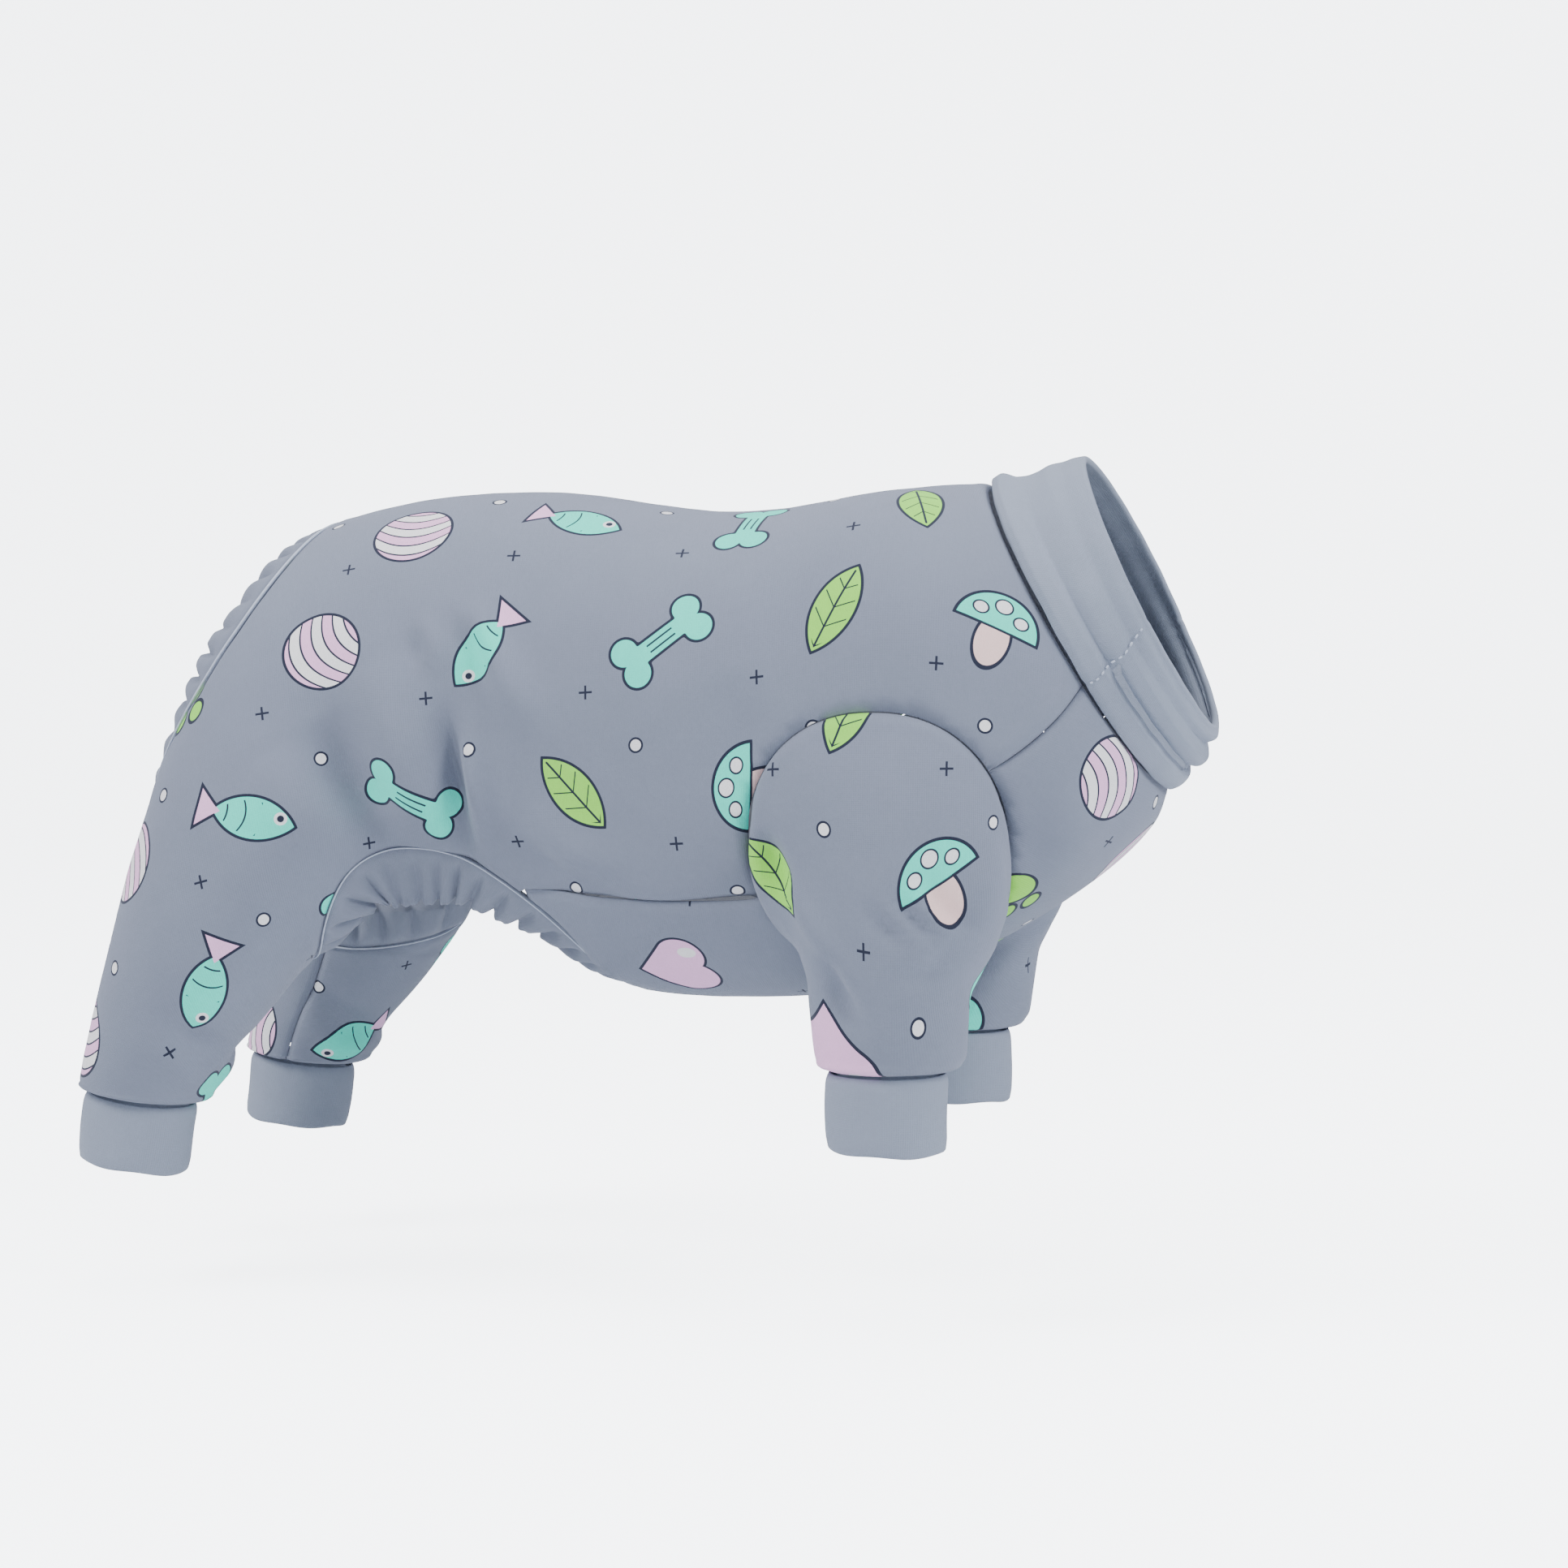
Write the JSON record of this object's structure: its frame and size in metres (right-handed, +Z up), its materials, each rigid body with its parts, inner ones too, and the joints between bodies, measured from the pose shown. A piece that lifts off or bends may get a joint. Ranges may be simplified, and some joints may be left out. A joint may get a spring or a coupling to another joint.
{
  "type": "dog jumpsuit",
  "caption": "Four-legged pet jumpsuit in its worn shape: body and belly panels, set-in sleeves, trouser legs, turtleneck collar, cuffs and a gathered rear opening.",
  "frame": {"origin": "inner face of the back panel on the middle line at the withers, where the garment rests on the wearer's back", "axes": "+X towards the wearer's head along the back, +Y to the wearer's left, +Z up"},
  "size_m": [0.433, 0.1998, 0.2751],
  "materials": {
    "printed_jersey": "brushed stretch cotton jersey with a scattered print, matt",
    "plain_jersey": "plain double stretch jersey, matt",
    "gathered_jersey": "jersey gathered on an elastic, matt"
  },
  "bodies": {
    "root": {"back_panel": "printed_jersey", "hind_leg_left": "printed_jersey", "hind_leg_right": "printed_jersey", "belly_panel": "printed_jersey", "sleeve_left": "printed_jersey", "sleeve_right": "printed_jersey", "collar": "plain_jersey", "front_cuff_left": "plain_jersey", "front_cuff_right": "plain_jersey", "hind_cuff_left": "plain_jersey", "hind_cuff_right": "plain_jersey", "opening_band": "gathered_jersey"}
  },
  "joints": []
}
